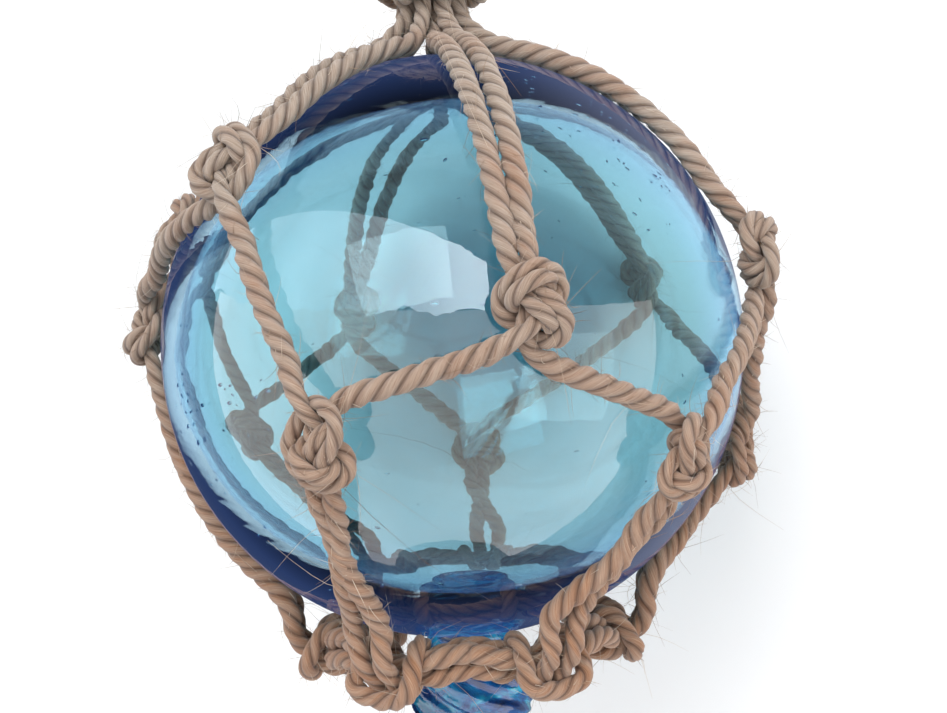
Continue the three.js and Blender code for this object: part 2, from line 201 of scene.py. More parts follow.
def drawn_tight(loose):
    """All knots at once, as (knot, cord, point, xyz). Links shorten step by step, points of different
    turns keep KNOT_LAY apart, bends are eased, and nothing sinks into the ball."""
    knots, _, n, _ = loose.shape
    length = np.linalg.norm(np.diff(loose, axis=2), axis=3).sum(2)
    tight = 2 * KNOT_REACH + 15 * KNOT_LAY * length / length.mean(1, keepdims=True)
    index = np.arange(2 * n)
    same = (index[:, None] // n) == (index[None, :] // n)
    apart = np.abs(index[:, None] - index[None, :])
    free = ((index % n != 0) & (index % n != n - 1))[None, :, None]
    centre = np.array([0, 0, -BALL_R])
    p = loose.reshape(knots, 2 * n, 3).copy()
    rounds = 1350
    for turn in range(rounds):
        drawn = min(1, turn / (0.8 * rounds))
        link = ((1 - drawn) * length + drawn * tight) / (n - 1)
        q = p.reshape(knots, 2, n, 3)
        gap = np.diff(q, axis=2)
        size = np.linalg.norm(gap, axis=3, keepdims=True)
        pull = gap * 0.5 * (size - link[:, :, None, None]) / size
        push = np.zeros_like(q)
        push[:, :, :-1] += pull
        push[:, :, 1:] -= pull
        push = push.reshape(knots, 2 * n, 3)
        away = distances(p)
        skip = np.repeat(np.ceil(1.6 * KNOT_LAY / link), n, axis=1)[:, :, None]
        touch = (away < KNOT_LAY) & (~same | (apart >= skip))
        weight = np.where(touch, 0.5 * (away - KNOT_LAY) / away, 0)
        push += weight @ p - weight.sum(-1, keepdims=True) * p
        count = 2 + touch.sum(-1, keepdims=True)
        p = p + free * push / np.maximum(1, 1.1 * np.sqrt(count))
        between = 0.5 * (np.roll(p, 1, 1) + np.roll(p, -1, 1))
        p = np.where(free, 0.85 * p + 0.15 * between - [0, 0, KNOT_PRESS], p)
        from_centre = p - centre
        far = np.linalg.norm(from_centre, axis=-1, keepdims=True)
        p = np.where(free & (far < SEAT), centre + from_centre * SEAT / far, p)
    away = distances(p)
    travel = np.linalg.norm(np.diff(p.reshape(knots, 2, n, 3), axis=2), axis=3).mean(2)
    far_along = ~same | (apart * np.repeat(travel, n, axis=1)[:, :, None] >= 1.6 * KNOT_LAY)
    nearest = np.where(far_along, away, 9).min(-1)
    radius = np.minimum(CORD_R * 1.02, 0.56 * nearest)
    return np.concatenate([p, radius[..., None]], -1).reshape(knots, 2, n, 4)


# ---------------------------------------------------------------- ring, hitches and gathered ends


def ring_lift(azimuth):
    """How far the hitches' cords, passing between ring and ball, lift the ring."""
    level, foot = 15, 29
    return HITCH_LIFT * smooth((foot - away_from_hitches(azimuth)) / (foot - level))


def ring_place(azimuth):
    """The ring's middle and its directions up, towards the gathered ends, and outwards."""
    azimuth = np.asarray(azimuth, float)
    height = -math.sqrt((BALL_R + GAP + RING_R) ** 2 - RING_FROM_AXIS**2)
    bare = on_axis(azimuth, RING_FROM_AXIS, height)
    out = unit(bare)
    a = np.radians(azimuth)
    along = np.stack([np.cos(a), 0 * a, -np.sin(a)], -1)
    up = np.cross(out, along)
    return bare + out * ring_lift(azimuth)[..., None], up, out


def larks_head(azimuth):
    """One cord's lark's head on the ring, left leg first: over the ring's outside, under it, up between
    ring and ball, and across both legs as the bar."""
    lifted = np.linalg.norm(ring_place(azimuth)[0])
    wrap = HITCHED_R + BOUND_R
    over = wrap + 1.7 * BOUND_R
    leg = BOUND_R + 0.05
    turn = np.arange(50, 421, 15.0)
    aside = leg + (2 * BOUND_R - 0.1) * smooth((turn - 90) / 220)
    reach = wrap + (over - wrap) * smooth((turn - 375) / 40)
    a = np.radians(turn)
    held_r = 1.95
    bar = math.radians(68)
    half = np.vstack([
        [13, SEAT - lifted + 0.4, leg + 0.5, CORD_R],
        [9, 1.4, leg, 2],
        np.stack([reach * np.cos(a), reach * np.sin(a), aside, 0 * a + held_r], 1),
        [over * math.cos(bar), over * math.sin(bar), 1.9, held_r]])
    legs = []
    for k in (-1, 1):
        middle, up, out = ring_place(azimuth + k * np.degrees(half[:, 2] / RING_FROM_AXIS))
        at = middle + up * half[:, :1] + out * half[:, 1:2]
        legs.append(np.column_stack([at, half[:, 3]]))
    return np.vstack([legs[0], legs[1][::-1]])


def bundle_places():
    """The twelve cord ends round the axis: azimuth, and whether it is in the inner three."""
    first, in_turn = -59, (0, 40, 60, 80)
    return [(first + 120 * (i // 4) + in_turn[i % 4], i % 4 == 2) for i in range(2 * CORDS)]


def gather(azimuth, inner, tip):
    """A cord's way off the ball, up through the lashing and to its trimmed end."""
    rise = ([[15, 63.3], [8, 65.2], [3.6, 69], [2.35, 74], [2.35, 86]] if inner
            else [[15, 63.3], [10, 67], [6.8, 70.3], [6.1, 73], [6.1, 86]])
    rise = np.array(rise + [[2.6, tip] if inner else [7.4, tip - 1]])
    radius = np.where(np.arange(len(rise)) == 0, CORD_R, 1.9)
    return np.column_stack([on_axis(azimuth, rise[:, 0], rise[:, 1]), radius])


def stretch(start, end, step=6):
    """Way along the ball between two cord points, by equal turns of the great circle."""
    a, b = unit(start[:3]), unit(end[:3])
    angle = math.acos(float(a @ b))
    steps = max(1, round(angle * SEAT / step))
    t = np.arange(1, steps)[:, None] / steps
    way = (a * np.sin((1 - t) * angle) + b * np.sin(t * angle)) / math.sin(angle)
    height = (1 - t) * np.linalg.norm(start[:3]) + t * np.linalg.norm(end[:3])
    height = np.maximum(SEAT, height - 3 * np.minimum(t, 1 - t) * 12)
    return np.column_stack([way * height, 0 * t + CORD_R])


def net_paths():
    """The six cords of the net from end to end, as rows of x, y, z and radius."""
    upper_at = direction(UPPER_KNOTS[:, 0], UPPER_KNOTS[:, 1])
    lower_at = direction(LOWER_KNOTS[:, 0], LOWER_KNOTS[:, 1])
    places = bundle_places()
    stems, branches, hands = [], [], []
    for j in range(CORDS):
        left, right = places[(j + 1) % CORDS * 2], places[(j + 1) % CORDS * 2 + 1]
        stems.append(on_axis(left[0], 15, 63) + on_axis(right[0], 15, 63))
        branches.append([lower_at[j], lower_at[(j + 1) % CORDS]])
        hands.append(1 if j % 2 else -1)
    for i in range(CORDS):
        stems.append(ring_place(HITCHES[i])[0])
        branches.append([upper_at[i], upper_at[i - 1]])
        hands.append(-1 if i % 2 else 1)
    out = np.vstack([upper_at, lower_at])
    stem = unit(flat_part(np.array(stems), out))
    side = np.cross(stem, out)
    way = flat_part(np.array(branches), out[:, None, :])
    angle = np.arctan2((way * side[:, None, :]).sum(-1), -(way * stem[:, None, :]).sum(-1))
    loose = np.array([[loose_cord(k, hand, turn[i]) for i, k in enumerate((-1, 1))]
                      for hand, turn in zip(hands, angle)])
    tight = drawn_tight(loose)
    at = (tight[..., 0:1] * side[:, None, None, :] + tight[..., 1:2] * stem[:, None, None, :]
          + (tight[..., 2:3] + BALL_R) * out[:, None, None, :])
    kept = np.hypot(tight[..., 0], tight[..., 1]) < KNOT_KEEP
    knots = [[np.column_stack([at[k, c][kept[k, c]], tight[k, c, :, 3][kept[k, c]]]) for c in (0, 1)]
             for k in range(2 * CORDS)]
    upper, lower = knots[:CORDS], knots[CORDS:]

    def leg_up(start, first, second, place, tip):
        second = second[::-1]
        end = gather(*place, tip)
        return np.vstack([stretch(start, first[0]), first, stretch(first[-1], second[0]), second,
                          stretch(second[-1], end[0]), end])

    tips = ENDS_AT - np.random.default_rng(4).uniform(0, 3, 12)
    paths = []
    for i, azimuth in enumerate(HITCHES):
        head = larks_head(azimuth)
        left = leg_up(head[0], lower[i][1], upper[i - 1][1], places[2 * i], tips[2 * i])
        other = (2 * (i + 1) + 1) % 12
        right = leg_up(head[-1], lower[i][0], upper[i][0], places[other], tips[other])
        paths.append(np.vstack([left[::-1], head, right]))
    return paths


# ---------------------------------------------------------------- meshes


def add_mesh(name, corners, quads, triangles=None, uv=None, fields=None):
    """A smooth mesh object at the origin, from corners in metres, with a UV and named values a corner."""
    mesh = bpy.data.meshes.new(name)
    triangles = np.zeros((0, 3), int) if triangles is None else triangles
    loops = np.concatenate([quads.ravel(), triangles.ravel()]).astype(np.int32)
    sizes = np.array([4] * len(quads) + [3] * len(triangles), np.int32)
    mesh.vertices.add(len(corners))
    mesh.vertices.foreach_set("co", np.ascontiguousarray(corners, np.float32).ravel())
    mesh.loops.add(len(loops))
    mesh.loops.foreach_set("vertex_index", loops)
    mesh.polygons.add(len(sizes))
    mesh.polygons.foreach_set("loop_start", (np.cumsum(sizes) - sizes).astype(np.int32))
    mesh.polygons.foreach_set("use_smooth", np.ones(len(sizes), bool))
    mesh.update(calc_edges=True)
    if uv is not None:
        mesh.uv_layers.new(name="UVMap").data.foreach_set("uv", uv[loops].astype(np.float32).ravel())
    for key, values in (fields or {}).items():
        mesh.attributes.new(key, "FLOAT", "POINT").data.foreach_set("value", values.astype(np.float32))
    thing = bpy.data.objects.new(name, mesh)
    bpy.context.scene.collection.objects.link(thing)
    return thing


def tube_faces(rows, across, first=0):
    """Quads of a tube of rings, each ring closed on itself, facing outwards."""
    i, j = np.meshgrid(np.arange(rows - 1), np.arange(across), indexing="ij")
    k = (j + 1) % across
    quads = np.stack([i * across + j, i * across + k, (i + 1) * across + k, (i + 1) * across + j], -1)
    return first + quads.reshape(-1, 4)


def to_world(p):
    """Net millimetres to metres in the object's frame, as the float lies; what meets the floor is flat."""
    placed = (p @ LIE.T) * MM + CENTRE
    placed[:, 2] = np.maximum(placed[:, 2], 0.00005)
    return placed


def lying_turn():
    """Rows are the world's X, Y and Z in the net's own directions: the foot points down."""
    up = -direction(*FOOT)
    along = unit(flat_part(np.array([0, 1.0, 0]), up))
    return np.stack([np.cross(along, up), along, up])


def ball_centre():
    """The centre of the CAD ball by least squares: |p|^2 = 2 c.p + k for its corners."""
    corners = np.array([v.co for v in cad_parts["glass_float"].data.vertices])
    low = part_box("glass_float")[0].y + (GOB_END - BALL_R + 12) * MM
    p = corners[corners[:, 1] > low]
    found = np.linalg.lstsq(np.column_stack([2 * p, np.ones(len(p))]), (p * p).sum(1), rcond=None)[0]
    return found[:3]


LIE = lying_turn()
CENTRE = ball_centre()

# ---------------------------------------------------------------- plied jute cord
PITCH = 12.5  # one full turn of the three plies
ACROSS = 30


def carried_frames(path):
    """Two unit vectors square to the path at each point, turned as little as possible along it: any
    frame is taken first, and the sum of its own turns is then taken out."""
    tangent = unit(np.gradient(path, axis=0))
    pick = np.eye(3)[np.argmin(np.abs(tangent), axis=1)]
    n = unit(flat_part(pick, tangent))
    b = np.cross(tangent, n)
    axis = np.cross(tangent[:-1], tangent[1:])
    cos = (tangent[:-1] * tangent[1:]).sum(1, keepdims=True)
    moved = (n[:-1] * cos + np.cross(axis, n[:-1])
             + axis * (axis * n[:-1]).sum(1, keepdims=True) / (1 + cos))
    turn = np.arctan2((moved * b[1:]).sum(1), (moved * n[1:]).sum(1))
    angle = np.concatenate([[0], np.cumsum(turn)])[:, None]
    return tangent, np.cos(angle) * n + np.sin(angle) * b, np.cos(angle) * b - np.sin(angle) * n


def streaks(rng, rows, across, long, wide):
    """Random relief from -1 to 1 on a rows by across grid that closes round the cord, with features
    long rows by wide columns in size."""
    table = rng.uniform(-1, 1, (int(rows / long) + 3, max(3, int(across / wide))))
    r = np.arange(rows) / long
    c = np.arange(across) * table.shape[1] / across
    i, j = r.astype(int), c.astype(int)
    fr, fc = smooth(r - i)[:, None], smooth(c - j)[None, :]
    k = (j + 1) % table.shape[1]
    top = table[i][:, j] * (1 - fc) + table[i][:, k] * fc
    low = table[i + 1][:, j] * (1 - fc) + table[i + 1][:, k] * fc
    return top * (1 - fr) + low * fr


def plied_cord(path, radius, rng, closed=False):
    """Three plies laid round each other. Round the cord at angle f from a ply's own middle the surface is
    at d cos f + sqrt(ply^2 - (d sin f)^2), the outline of three touching circles, and the whole outline
    turns once a pitch along the cord. Fibre bundles are long random ridges along the plies."""
    tangent, n, b = carried_frames(path)
    run = run_of(path)
    rows = len(path)
    lay = -2 * np.pi * run / PITCH
    f = 2 * np.pi * np.arange(ACROSS) / ACROSS
    own = (f + np.pi / 3) % (2 * np.pi / 3) - np.pi / 3
    offset, ply = 0.34, 0.66
    outline = offset * np.cos(own) + np.sqrt(ply**2 - (offset * np.sin(own)) ** 2)
    relief = (0.06 * streaks(rng, rows, ACROSS, 14, 3) + 0.055 * streaks(rng, rows, ACROSS, 5, 1.6)
              + 0.05 * streaks(rng, rows, 6, 30, 2).repeat(ACROSS // 6, axis=1))
    swell = 1 + 0.05 * streaks(rng, rows, 3, 22, 1)[:, :1]
    reach = radius[:, None] * outline[None, :] * (1 + relief) * swell
    angle = f[None, :] + lay[:, None]
    if closed:
        turn = math.atan2(float(n[-1] @ b[0]), float(n[-1] @ n[0]))
        angle = angle + (run / run[-1] * (turn + lay[0] - lay[-1] - 2 * np.pi * round(
            float(turn + lay[0] - lay[-1]) / (2 * np.pi))))[:, None]
    corners = (path[:, None, :] + reach[..., None]
               * (np.cos(angle)[..., None] * n[:, None, :] + np.sin(angle)[..., None] * b[:, None, :]))
    # how deep each point lies between the plies; the jute finish paints shade there by this depth
    valley_shade = 1 - (outline - outline.min()) / (outline.max() - outline.min())
    uv = np.stack(np.broadcast_arrays(f[None, :] / (2 * np.pi) * 3, run[:, None] / 10), -1)
    return corners, uv, np.broadcast_to(valley_shade, (rows, ACROSS)), relief


def rim_fan(rim, middle, towards_start):
    """Triangles that close a tube's rim on a middle corner."""
    fan = np.stack([np.roll(rim, -1), rim, np.full(len(rim), middle)], 1)
    return fan if towards_start else fan[:, ::-1]


def cord_object(name, path, rng, closed=False):
    """One plied cord as a mesh: open with a cap at either end, or closed on itself."""
    corners, uv, valley_shade, relief = plied_cord(path[:, :3], path[:, 3], rng, closed)
    rows = len(path)
    grid, uv = corners.reshape(-1, 3), uv.reshape(-1, 2)
    fields = {"valley_shade": valley_shade.ravel(), "relief": relief.ravel()}
    quads = tube_faces(rows, ACROSS)
    if closed:
        quads = np.where(quads >= (rows - 1) * ACROSS, quads - (rows - 1) * ACROSS, quads)
        keep = (rows - 1) * ACROSS
        fields = {key: values[:keep] for key, values in fields.items()}
        return add_mesh(name, to_world(grid[:keep]), quads, uv=uv[:keep], fields=fields)
    rim = np.arange(ACROSS)
    fans = np.vstack([rim_fan(rim, len(grid), True),
                      rim_fan((rows - 1) * ACROSS + rim, len(grid) + 1, False)])
    grid = np.vstack([grid, path[[0, -1], :3]])
    fields = {key: np.append(values, [0.5, 0.5]) for key, values in fields.items()}
    return add_mesh(name, to_world(grid), quads, fans, np.vstack([uv, uv[:1], uv[-1:]]), fields)


def off_the_ball(path, share=0.97):
    """The path with every point kept far enough out for its cord to lie on the glass."""
    far = np.linalg.norm(path[:, :3], axis=1)
    least = BALL_R + 0.1 + share * path[:, 3]
    path = path.copy()
    path[:, :3] *= np.maximum(1, least / far)[:, None]
    return path


def finished_path(points, step=0.6):
    """The rough rows as one smooth way with a sample every 0.6 mm, ends kept."""
    dense = flowing(points, 10)
    dense = evenly(dense, int(run_of(dense)[-1] / step) + 1)
    dense = off_the_ball(np.column_stack([eased(dense[:, :3], 1.6), eased(dense[:, 3:], 2.5)]))
    return off_the_ball(eased(dense, 1.5))


def ring_path():
    """Three turns laid round each other by a third of a turn each, so that they close on themselves, and
    squeezed together in the hitches."""
    rows = 900
    t = np.linspace(0, 3, rows + 1)
    middle, up, out = ring_place((360 * t) % 360)
    middle = eased(np.vstack([middle[:-1]] * 3), 5)[rows:2 * rows + 1]
    spin = 2 * np.pi * (t / 3) + 0.25 * np.sin(2 * np.pi * t)
    squeezed = smooth((17 - away_from_hitches(360 * t)) / 9)
    apart = (2.6 - 1.1 * squeezed)[:, None]
    at = middle + apart * (np.cos(spin)[:, None] * up + np.sin(spin)[:, None] * out)
    return np.column_stack([at, 2.15 - 0.5 * squeezed])


def lashing_path():
    """Three turns wound round the gathered cords, one above the other, with both ends tucked inside."""
    turns = 3.1
    t = np.linspace(0, 1, 350)
    azimuth = -75 + 360 * turns * t
    inside = 6.4 + BOUND_R + GAP + CORD_R - 0.3
    tuck = smooth((t - 0.955) / 0.045) + smooth((0.045 - t) / 0.045)
    height = LASHING_START + 2.2 + 8.8 * t
    wander = 0.25 * np.sin(np.radians(azimuth * 1.7)) + 0.2 * np.sin(np.radians(azimuth * 0.61 + 50))
    at = on_axis(azimuth, inside - 4.5 * tuck + wander, height + wander)
    return np.column_stack([at, 0 * t + 2.2])


# ---------------------------------------------------------------- loose fibres
REACH = 0.006  # a hair that would end further than this outside the object's box, in metres, is cut short


def fibre_mesh(name, starts, ways, lengths, curls, widths, rows=5):
    """Tapering three-sided fibres: a point at share t of a fibre's length L is start + L (t way + t^2 curl),
    kept outside the glass, and the fibre thins towards its far end."""
    t = np.linspace(0, 1, rows)[None, :, None]
    tips = (starts + lengths[:, None] * (ways + curls)) @ LIE.T * MM + CENTRE
    least, most = (np.array(c) for c in cad_box)
    outside = ((tips < least - REACH) | (tips > most + REACH)).any(1)
    lengths = np.where(outside, 0.3 * lengths, lengths)
    line = starts[:, None, :] + lengths[:, None, None] * (t * ways[:, None, :] + t**2 * curls[:, None, :])
    far = np.linalg.norm(line, axis=-1, keepdims=True)
    line = line * np.maximum(1, (BALL_R + 0.25) / far)
    line = line + np.maximum(0, 0.3 - FLOOR_BELOW - line @ LIE[2])[..., None] * LIE[2]
    tangent = unit(np.gradient(line, axis=1))
    n = unit(np.cross(tangent, np.array([0.31, 0.67, 0.68])))
    b = np.cross(tangent, n)
    thick = widths[:, None, None] * (1 - 0.75 * t**2)
    f = np.array([0, 2, 4]) * np.pi / 3
    n, b = n[:, :, None, :], b[:, :, None, :]
    rings = line[:, :, None, :] + thick[..., None] * (np.cos(f)[:, None] * n + np.sin(f)[:, None] * b)
    count = len(starts)
    one = tube_faces(rows, 3)
    quads = (np.arange(count)[:, None, None] * rows * 3 + one[None]).reshape(-1, 4)
    first = np.array([[2, 1, 0]])
    last = np.array([[0, 1, 2]]) + (rows - 1) * 3
    ends = (np.arange(count)[:, None, None] * rows * 3 + np.vstack([first, last])[None]).reshape(-1, 3)
    shade = np.repeat(np.random.default_rng(9).uniform(0, 1, count), rows * 3)
    return add_mesh(name, to_world(rings.reshape(-1, 3)), quads, ends, fields={"shade": shade})


def stray_fibres(paths, rng):
    """Short fuzz along every cord, some longer curling hairs, and a tuft at each trimmed end."""
    starts, ways, lengths, curls, widths = [], [], [], [], []

    def scatter(path, count, low, high, lift, width, curl):
        tangent, n, b = carried_frames(path[:, :3])
        i = rng.integers(2, len(path) - 2, count)
        f = rng.uniform(0, 2 * np.pi, count)[:, None]
        out = np.cos(f) * n[i] + np.sin(f) * b[i]
        sense = rng.choice([-1, 1], count)[:, None]
        tilt = rng.uniform(*lift, count)[:, None]
        way = unit(sense * tangent[i] + tilt * out + 0.35 * rng.normal(size=(count, 3)))
        starts.append(path[i, :3] + out * path[i, 3:4] * 0.85)
        ways.append(way)
        lengths.append(low + (high - low) * rng.uniform(0, 1, count) ** 2)
        curls.append(curl * rng.normal(size=(count, 3)))
        widths.append(rng.uniform(0.6, 1.1, count) * width)

    for path in paths:
        run = run_of(path)[-1]
        scatter(path, int(run * 1.0), 1.6, 4.5, (0.25, 1.2), 0.055, 0.45)
        scatter(path, int(run * 0.3), 3.5, 8.0, (0.12, 0.6), 0.055, 0.55)
        scatter(path, int(run * 0.035), 8.0, 19.0, (0.25, 0.9), 0.055, 0.75)
    for path in paths[:CORDS]:
        for end, back in ((0, 12), (-1, -13)):
            tip, away = path[end], unit(path[end, :3] - path[back, :3])
            count = 34
            spread = rng.normal(size=(count, 3))
            starts.append(tip[:3] - away * 1.5 + 0.55 * tip[3] * flat_part(spread, away))
            ways.append(unit(away + 0.28 * spread))
            lengths.append(rng.uniform(2.5, 5.5, count))
            curls.append(0.2 * rng.normal(size=(count, 3)))
            widths.append(rng.uniform(0.09, 0.16, count))
    return fibre_mesh("jute_fibres", *map(np.concatenate, (starts, ways, lengths, curls, widths)))


# ---------------------------------------------------------------- glass


def ripple(v, rng, strength, finest):
    """A smooth random height over directions v: the mean of sines of random plane waves."""
    waves = rng.normal(size=(14, 3)) * rng.uniform(1.5, finest, (14, 1))
    phase = rng.uniform(0, 2 * np.pi, 14)
    return strength * np.sin(v @ waves.T + phase).mean(-1)


def globe(rows, around):
    """Unit directions of a globe from its -Y pole to its +Y pole: the poles, and a grid of rings between."""
    a = np.pi * np.arange(rows - 1, 0, -1) / rows
    f = 2 * np.pi * np.arange(around) / around
    a, f = np.meshgrid(a, f, indexing="ij")
    ring = np.stack([np.sin(a) * np.sin(f), np.cos(a), np.sin(a) * np.cos(f)], -1).reshape(-1, 3)
    v = np.vstack([[[0, -1, 0]], ring, [[0, 1, 0]]])
    quads = tube_faces(rows - 1, around, 1)
    rim = np.arange(around)
    fans = np.vstack([rim_fan(1 + rim, 0, True),
                      rim_fan(1 + (rows - 2) * around + rim, len(v) - 1, False)])
    return v, quads, fans


def glass_ball():
    """The blown wall: the outside is a sphere with a slight ripple, and the sealed hollow an ellipsoid that
    is shorter along the net's axis; gas seeds in the wall are small turned-in ellipsoids."""
    rng = np.random.default_rng(12)
    v, quads, fans = globe(120, 240)
    outside = v * (BALL_R - 0.06 + ripple(v, rng, 0.12, 9))[:, None]
    w, inner_quads, inner_fans = globe(96, 192)
    hollow = w * [CAVITY_ACROSS, CAVITY_ALONG, CAVITY_ACROSS] + [CAVITY_ASIDE, 0, 0]
    hollow = hollow + w * ripple(w, rng, 0.35, 7)[:, None]
    corners = [outside, hollow]
    all_quads = [quads, inner_quads[:, ::-1] + len(v)]
    all_fans = [fans, inner_fans[:, ::-1] + len(v)]
    first = len(v) + len(w)
    s, seed_quads, seed_fans = globe(5, 8)
    places = np.vstack([
        direction(rng.uniform(0, 360, 90), np.degrees(np.arcsin(rng.uniform(-0.8, 0.9, 90)))),
        direction(rng.normal(38, 14, 55), rng.normal(34, 12, 55)),
        direction(rng.normal(-52, 8, 26), rng.normal(-12, 10, 26))])
    size = rng.uniform(0.1, 0.32, len(places)) * rng.uniform(0.7, 1.4, len(places))
    drawn = unit(flat_part(rng.normal(size=(len(places), 3)) * [1, 0.25, 1], places))
    for place, r, way in zip(places, size, drawn):
        third = np.cross(place, way)
        shape = np.outer(s[:, 0], place * 0.7) + np.outer(s[:, 1], way * 2.0) + np.outer(s[:, 2], third)
        corners.append(place * (BALL_R - 1.05) + r * shape)
        all_quads.append(seed_quads[:, ::-1] + first)
        all_fans.append(seed_fans[:, ::-1] + first)
        first += len(s)
    corners = np.vstack(corners)
    return add_mesh("glass_ball", to_world(corners), np.vstack(all_quads), np.vstack(all_fans))


def glass_seal():
    """The gob that closes the ball: a lathe outline of neck and button, twisted into soft ridges."""
    rng = np.random.default_rng(3)
    outline = np.array([
        [0.01, -BALL_R + 2.6], [NECK_R - 0.6, -BALL_R + 2.2], [NECK_R, -BALL_R - 1.2],
        [NECK_R + 0.8, -GOB_TOP], [GOB_R * 0.93, -GOB_WAIST + 5.6], [GOB_R, -GOB_WAIST],
        [GOB_R * 0.93, -GOB_WAIST - 4], [GOB_R * 0.62, -GOB_END + 1.6], [0.01, -GOB_END + 0.3]])
    outline = evenly(flowing(np.column_stack([outline, 0 * outline[:, 0]]), 12), 82)[-2:0:-1]
    around = 120
    f = 2 * np.pi * np.arange(around) / around
    r, y = outline[:, 0][:, None], outline[:, 1][:, None]
    shown = smooth((-BALL_R - y) / 6)
    swirl = f[None, :] + 0.16 * (y + GOB_WAIST) + 0.5 * np.sin(f[None, :] + 1)
    ridges = 0.045 * np.sin(4 * swirl) + 0.03 * np.sin(9 * swirl + 0.4 * y) + 0.02 * np.sin(2 * f[None, :])
    reach = r * (1 + shown * ridges - 0.03 * shown)
    ring = np.stack([reach * np.sin(f), np.broadcast_to(y, reach.shape), reach * np.cos(f)], -1)
    corners = np.vstack([[[0, -GOB_END + 0.3, 0]], ring.reshape(-1, 3), [[0, -BALL_R + 2.6, 0]]])
    rows = len(outline)
    rim = np.arange(around)
    quads = tube_faces(rows, around, 1)
    fans = np.vstack([rim_fan(1 + rim, 0, True),
                      rim_fan(1 + (rows - 1) * around + rim, len(corners) - 1, False)])
    return add_mesh("glass_seal", to_world(corners), quads, fans)


# ---------------------------------------------------------------- finishes


class Finish:
    """A node material: node adds one node, wires its inputs and sets its plain values."""

    def __init__(self, name):
        self.material = bpy.data.materials.new(name)
        self.material.use_nodes = True
        self.tree = self.material.node_tree
        self.tree.nodes.clear()

    def node(self, kind, settings=None, **inputs):
        """Adds a node. An input is named by its label, with _ for a space, or by its number after i."""
        made = self.tree.nodes.new(kind)
        for key, value in (settings or {}).items():
            setattr(made, key, value)
        for key, value in inputs.items():
            numbered = key[0] == "i" and key[1:].isdigit()
            socket = made.inputs[int(key[1:]) if numbered else key.replace("_", " ")]
            if isinstance(value, bpy.types.NodeSocket):
                self.tree.links.new(value, socket)
            else:
                socket.default_value = value
        return made

    def where(self, kind="Object"):
        """Where a point is on the piece, in the object's frame or in its UV map."""
        return self.node("ShaderNodeTexCoord").outputs[kind]

    def stretched(self, vector, scale, rotation=(0, 0, 0)):
        """A vector turned and scaled for a pattern."""
        return self.node("ShaderNodeMapping", Vector=vector, Rotation=rotation, Scale=scale).outputs[0]

    def noise(self, vector, scale, detail, roughness=0.5):
        """A noise pattern's output sockets."""
        return self.node("ShaderNodeTexNoise", Vector=vector, Scale=scale, Detail=detail,
                         Roughness=roughness).outputs

    def attribute(self, name):
        """A value kept at the mesh's corners."""
        return self.node("ShaderNodeAttribute", {"attribute_name": name}).outputs["Fac"]

    def ranged(self, value, low, high, most=1.0):
        """0 at low, most at high, and straight between."""
        return self.node("ShaderNodeMapRange", Value=value, From_Min=low, From_Max=high,
                         To_Max=most).outputs[0]

    def ramp(self, factor, stops):
        """A colour ramp through (place, colour) stops."""
        made = self.node("ShaderNodeValToRGB", Fac=factor)
        elements = made.color_ramp.elements
        while len(elements) < len(stops):
            elements.new(0.5)
        for element, (place, tint) in zip(elements, stops):
            element.position = place
            element.color = (*colour(tint), 1)
        return made.outputs["Color"]

    def mix(self, share, first, second, blend="MIX"):
        """Two colours mixed by a share."""
        return self.node("ShaderNodeMix", {"data_type": "RGBA", "blend_type": blend},
                         i0=share, i6=first, i7=second).outputs[2]

    def math(self, kind, first, second=0.0, third=0.0):
        """One sum on two or three values."""
        return self.node("ShaderNodeMath", {"operation": kind}, i0=first, i1=second, i2=third).outputs[0]

    def finish(self, shader, **more):
        """Joins the shader, and a volume where there is one, to the material's output."""
        self.node("ShaderNodeOutputMaterial", Surface=shader.outputs[0], **more)
        return self.material


def colour(hex_code):
    """Linear red, green and blue of a screen colour."""
    c = np.array([int(hex_code[i:i + 2], 16) for i in (0, 2, 4)]) / 255
    return tuple(np.where(c <= 0.04045, c / 12.92, ((c + 0.055) / 1.055) ** 2.4))


def jute():
    """Natural jute: fibre streaks along the plies, painted shade between them, with redder and paler
    patches, greyer towards the gathered ends and browner towards the seal."""
    m = Finish("jute")
    uv = m.where("UV")
    where = m.where()
    fine = m.noise(m.stretched(uv, (9, 0.9, 1), (0, 0, 0.12)), 3.2, 5, 0.65)["Fac"]
    broad = m.noise(m.stretched(uv, (1.2, 0.35, 1)), 2.0, 2)["Fac"]
    patch = m.noise(where, 55, 3, 0.6)["Fac"]
    along = m.node("ShaderNodeSeparateXYZ", Vector=where).outputs["Y"]
    grey = m.ramp(fine, [(0.28, "66503c"), (0.44, "8f7b69"), (0.56, "ab9b8e"), (0.72, "c8bbae")])
    brown = m.ramp(fine, [(0.28, "623f25"), (0.44, "8c6246"), (0.56, "a67e61"), (0.72, "c2a58a")])
    base = m.mix(m.ranged(along, -0.05, 0.03), brown, grey)
    redder = m.mix(m.math("MULTIPLY", m.ranged(patch, 0.45, 0.72), 0.55), base, (*colour("935c33"), 1))
    paler = m.mix(m.ranged(broad, 0.35, 0.7, 0.4), redder, (*colour("ad9d8e"), 1))
    # painted shade: the deeper a point lies between the plies, the more its colour is darkened towards
    # 5c3a22
    between = m.math("MULTIPLY", m.math("POWER", m.attribute("valley_shade"), 1.6), 0.8)
    deep = m.mix(between, paler, (*colour("5c3a22"), 1), "MULTIPLY")
    raised = m.math("ADD", fine, m.math("MULTIPLY", m.attribute("relief"), 1.5))
    bump = m.node("ShaderNodeBump", Strength=0.75, Distance=0.00022, Height=raised)
    return m.finish(m.node(
        "ShaderNodeBsdfPrincipled", Base_Color=deep, Roughness=0.82, Normal=bump.outputs[0],
        Sheen_Weight=0.25, Sheen_Roughness=0.5, Specular_IOR_Level=0.25))


